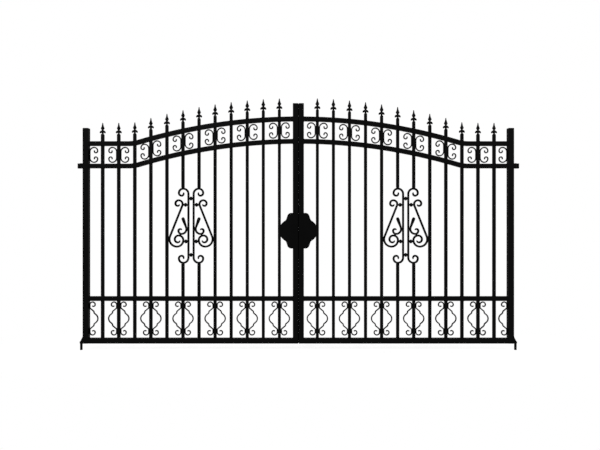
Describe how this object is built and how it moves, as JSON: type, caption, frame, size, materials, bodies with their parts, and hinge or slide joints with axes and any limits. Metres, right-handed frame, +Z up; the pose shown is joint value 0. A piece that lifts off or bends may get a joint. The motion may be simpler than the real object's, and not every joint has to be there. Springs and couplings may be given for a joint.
{
  "type": "double swing gate",
  "caption": "Arched double driveway gate of black painted square tube, with spear-headed pickets through its rails, bands and panels of scrollwork, lock plates and pintle hinges.",
  "frame": {"origin": "foot of the left ground pintle, on the left hinge axis at ground level", "axes": "+X along the closed gate towards the right hinge axis, the front faces -Y, +Z up"},
  "size_m": [3.564, 0.048, 2.0334],
  "materials": {
    "black_frame": "satin",
    "black_scrolls": "satin",
    "black_plate": "satin",
    "black_castings": "satin",
    "hinge_steel": "satin"
  },
  "bodies": {
    "hinge_fixings": {"ground_pintles": "hinge_steel", "hinge_brackets": "hinge_steel", "hinge_pins": "hinge_steel"},
    "left_leaf": {"left_hinge_stile": "black_frame", "left_meeting_stile": "black_frame", "left_stile_caps": "black_frame", "left_top_rail": "black_frame", "left_second_rail": "black_frame", "left_mid_rail": "black_frame", "left_bottom_rail": "black_frame", "left_pickets": "black_frame", "left_spear_heads": "black_castings", "left_panel_ties": "black_castings", "left_band_scrolls": "black_scrolls", "left_base_scrolls": "black_scrolls", "left_panel_bars": "black_scrolls", "left_panel_side_scrolls": "black_scrolls", "left_panel_bud_scrolls": "black_scrolls", "left_front_lock_plate": "black_plate", "left_back_lock_plate": "black_plate", "left_hinge_lugs": "hinge_steel"},
    "right_leaf": {"right_hinge_stile": "black_frame", "right_meeting_stile": "black_frame", "right_stile_caps": "black_frame", "right_top_rail": "black_frame", "right_second_rail": "black_frame", "right_mid_rail": "black_frame", "right_bottom_rail": "black_frame", "right_pickets": "black_frame", "right_spear_heads": "black_castings", "right_panel_ties": "black_castings", "right_band_scrolls": "black_scrolls", "right_base_scrolls": "black_scrolls", "right_panel_bars": "black_scrolls", "right_panel_side_scrolls": "black_scrolls", "right_panel_bud_scrolls": "black_scrolls", "right_front_lock_plate": "black_plate", "right_back_lock_plate": "black_plate", "right_hinge_lugs": "hinge_steel"}
  },
  "joints": [
    {"name": "left_leaf_swing", "type": "hinge", "parent": "hinge_fixings", "child": "left_leaf", "pos_m": [0, 0, 0], "axis": [0, 0, 1], "range_deg": [0, 90]},
    {"name": "right_leaf_swing", "type": "hinge", "parent": "hinge_fixings", "child": "right_leaf", "pos_m": [3.512, 0, 0], "axis": [0, 0, -1], "range_deg": [0, 90]}
  ]
}
